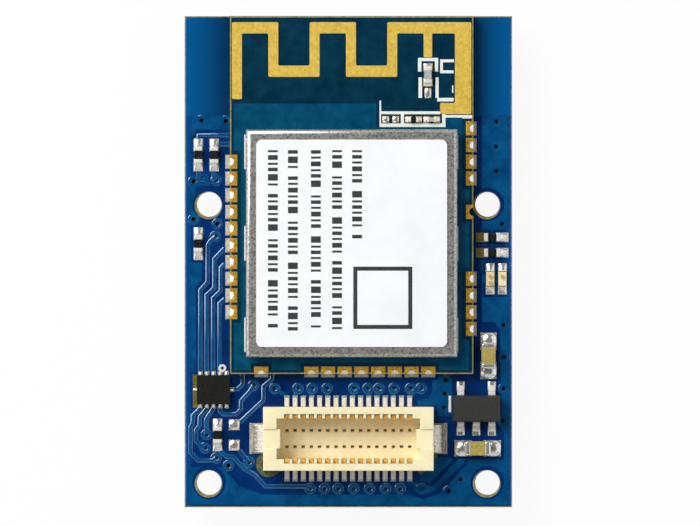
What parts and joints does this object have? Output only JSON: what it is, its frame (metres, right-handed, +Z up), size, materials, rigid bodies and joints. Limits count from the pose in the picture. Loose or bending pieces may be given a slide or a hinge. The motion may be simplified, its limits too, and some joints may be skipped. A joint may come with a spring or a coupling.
{
  "type": "wifi module",
  "caption": "Flat carrier board with a shielded radio module soldered on by its castellated edges, a printed antenna, a stacking socket on top, a matching header below and corner holes.",
  "frame": {"origin": "centre of the square of mounting holes, on the underside of the carrier board", "axes": "+X across the board to the right, +Y along the board from the stacking socket to the antenna end, +Z up out of the parts side"},
  "size_m": [0.02, 0.03, 0.0051],
  "materials": {
    "carrier_mask": "glossy blue solder mask on glass laminate",
    "module_mask": "semi-gloss dark teal solder mask on glass laminate",
    "gold_plate": "thin gold plate on copper",
    "solder": "bright tin solder",
    "can_metal": "dull drawn sheet metal",
    "label_paper": "white printed film label",
    "moulded_black": "black moulding compound",
    "ferrite": "dark grey ferrite",
    "capacitor_ceramic": "tan fired ceramic with tinned ends",
    "chip_ceramic": "dark glaze on ceramic with tinned ends",
    "connector_plastic": "cream liquid-crystal polymer",
    "lamp_resin": "pale clear resin"
  },
  "bodies": {
    "root": {"carrier_board": "carrier_mask", "carrier_lands": "gold_plate", "underside_lands": "gold_plate", "module_board": "module_mask", "castellation_pads": "gold_plate", "module_solder": "solder", "module_lands": "gold_plate", "antenna": "gold_plate", "shield_can": "can_metal", "can_solder": "solder", "label": "label_paper", "radio_chip": "moulded_black", "memory_chip": "moulded_black", "crystal": "can_metal", "power_inductor": "ferrite", "inner_capacitors": "capacitor_ceramic", "feed_chip": "chip_ceramic", "feed_chip_solder": "solder", "matching_chip_1": "chip_ceramic", "matching_chip_2": "chip_ceramic", "socket_housing": "connector_plastic", "socket_ribs": "connector_plastic", "socket_contacts": "gold_plate", "socket_tabs": "solder", "socket_solder": "solder", "header_housing": "connector_plastic", "header_ribs": "connector_plastic", "header_contacts": "gold_plate", "header_tabs": "solder", "header_solder": "solder", "level_shifter": "moulded_black", "level_shifter_terminals": "solder", "regulator": "moulded_black", "regulator_leads": "solder", "lead_solder": "solder", "resistor_1": "chip_ceramic", "resistor_2": "chip_ceramic", "resistor_3": "chip_ceramic", "resistor_4": "chip_ceramic", "resistor_5": "chip_ceramic", "resistor_6": "chip_ceramic", "lamp_1": "lamp_resin", "lamp_2": "lamp_resin", "capacitor_1": "capacitor_ceramic", "capacitor_2": "capacitor_ceramic", "chip_solder": "solder", "bare_land_solder": "solder"}
  },
  "joints": []
}
